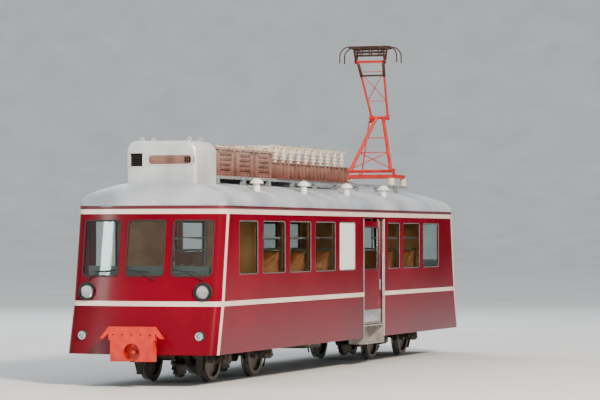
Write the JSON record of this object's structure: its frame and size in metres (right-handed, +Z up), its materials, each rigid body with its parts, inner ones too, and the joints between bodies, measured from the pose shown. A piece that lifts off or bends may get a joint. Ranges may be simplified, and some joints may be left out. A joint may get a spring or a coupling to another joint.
{
  "type": "electric rack railcar",
  "caption": "Metre gauge electric rack railcar with raked cab ends, sliding doors, bogies with rack pinions, roof resistors and a raised single-arm pantograph.",
  "frame": {"origin": "under the middle of the car, on the surface that the wheel flanges stand on", "axes": "+Z up, the length along Y with the front cab facing -Y, the right side +X"},
  "size_m": [2.616, 15.41, 6.3397],
  "materials": {
    "red_paint": "gloss",
    "cream_paint": "gloss",
    "silver_paint": "satin",
    "vermilion_paint": "gloss",
    "underframe_grey": "matt",
    "wheel_steel": "worn",
    "clear_glass": "clear",
    "white_pane": "satin",
    "lamp_chrome": "polished",
    "step_grey": "worn",
    "seat_tan": "satin",
    "interior_tan": "satin",
    "floor_grey": "matt",
    "desk_grey": "satin",
    "rust_red": "matt",
    "ceramic_cream": "glazed",
    "panto_red": "satin",
    "head_brown": "matt",
    "rail_grey": "satin"
  },
  "bodies": {
    "carbody": {"underframe": "underframe_grey", "centre_pins": "underframe_grey", "headstocks": "underframe_grey", "coupler_front": "vermilion_paint", "coupler_rear": "vermilion_paint", "side_front_right": "red_paint", "side_front_left": "red_paint", "side_rear_right": "red_paint", "side_rear_left": "red_paint", "side_glass": "clear_glass", "white_panes": "white_pane", "cantrails": "red_paint", "floor": "floor_grey", "entry_steps": "step_grey", "nose_front": "red_paint", "nose_rear": "red_paint", "windscreens": "clear_glass", "headlamps": "lamp_chrome", "marker_lamps": "lamp_chrome", "roof": "silver_paint", "roof_ends": "silver_paint", "cream_lines": "cream_paint", "seats": "seat_tan", "cab_partitions": "interior_tan", "driver_desks": "desk_grey", "underfloor_boxes": "underframe_grey", "air_reservoirs": "underframe_grey", "roof_fairing": "silver_paint", "resistor_boxes": "rust_red", "roof_rails": "rail_grey", "insulator_bank": "ceramic_cream", "grid_cassettes": "rust_red", "ventilators": "white_pane", "pantograph_base": "panto_red"},
    "door_right": {"door_right": "red_paint", "door_glass_right": "clear_glass"},
    "door_left": {"door_left": "red_paint", "door_glass_left": "clear_glass"},
    "bogie_front": {"bogie_frame_front": "underframe_grey", "axleboxes_front": "underframe_grey", "motors_front": "underframe_grey"},
    "bogie_rear": {"bogie_frame_rear": "underframe_grey", "axleboxes_rear": "underframe_grey", "motors_rear": "underframe_grey"},
    "wheelset_1": {"wheelset_1": "wheel_steel"},
    "wheelset_2": {"wheelset_2": "wheel_steel"},
    "wheelset_3": {"wheelset_3": "wheel_steel"},
    "wheelset_4": {"wheelset_4": "wheel_steel"},
    "panto_lower_arm": {"panto_lower_arm": "panto_red"},
    "panto_upper_arm": {"panto_upper_arm": "panto_red"},
    "panto_head": {"panto_head": "head_brown"},
    "panto_rod": {"panto_rod": "panto_red"}
  },
  "joints": [
    {"name": "bogie_front_turn", "type": "hinge", "parent": "carbody", "child": "bogie_front", "pos_m": [0, -4.5, 0.8], "axis": [0, 0, 1], "range_deg": [-6, 6]},
    {"name": "bogie_rear_turn", "type": "hinge", "parent": "carbody", "child": "bogie_rear", "pos_m": [0, 4.5, 0.8], "axis": [0, 0, 1], "range_deg": [-6, 6]},
    {"name": "wheelset_1_roll", "type": "hinge", "parent": "bogie_front", "child": "wheelset_1", "pos_m": [0, -5.55, 0.423], "axis": [1, 0, 0], "continuous": true},
    {"name": "wheelset_2_roll", "type": "hinge", "parent": "bogie_front", "child": "wheelset_2", "pos_m": [0, -3.45, 0.423], "axis": [1, 0, 0], "continuous": true},
    {"name": "wheelset_3_roll", "type": "hinge", "parent": "bogie_rear", "child": "wheelset_3", "pos_m": [0, 3.45, 0.423], "axis": [1, 0, 0], "continuous": true},
    {"name": "wheelset_4_roll", "type": "hinge", "parent": "bogie_rear", "child": "wheelset_4", "pos_m": [0, 5.55, 0.423], "axis": [1, 0, 0], "continuous": true},
    {"name": "door_right_slide", "type": "slide", "parent": "carbody", "child": "door_right", "axis": [0, -1, 0], "range_m": [0, 1.26]},
    {"name": "door_left_slide", "type": "slide", "parent": "carbody", "child": "door_left", "axis": [0, -1, 0], "range_m": [0, 1.26]},
    {"name": "pantograph_raise", "type": "hinge", "parent": "carbody", "child": "panto_lower_arm", "pos_m": [0, 5.25, 3.778], "axis": [1, 0, 0], "range_deg": [-54, 6]},
    {"name": "pantograph_knee", "type": "hinge", "parent": "panto_lower_arm", "child": "panto_upper_arm", "pos_m": [0, 5.9, 4.90383], "axis": [1, 0, 0], "range_deg": [-12, 108]},
    {"name": "pantograph_head_level", "type": "hinge", "parent": "panto_upper_arm", "child": "panto_head", "pos_m": [0, 5.25, 6.02967], "axis": [1, 0, 0], "range_deg": [-54, 6]},
    {"name": "pantograph_rod_swing", "type": "hinge", "parent": "carbody", "child": "panto_rod", "pos_m": [-0.245, 5.41, 3.688], "axis": [1, 0, 0], "range_deg": [-55.08, 6.12]}
  ],
  "couplings": [
    {"joint": "pantograph_knee", "follows": "pantograph_raise", "ratio": -2},
    {"joint": "pantograph_head_level", "follows": "pantograph_raise", "ratio": 1},
    {"joint": "pantograph_rod_swing", "follows": "pantograph_raise", "ratio": 1.02}
  ]
}
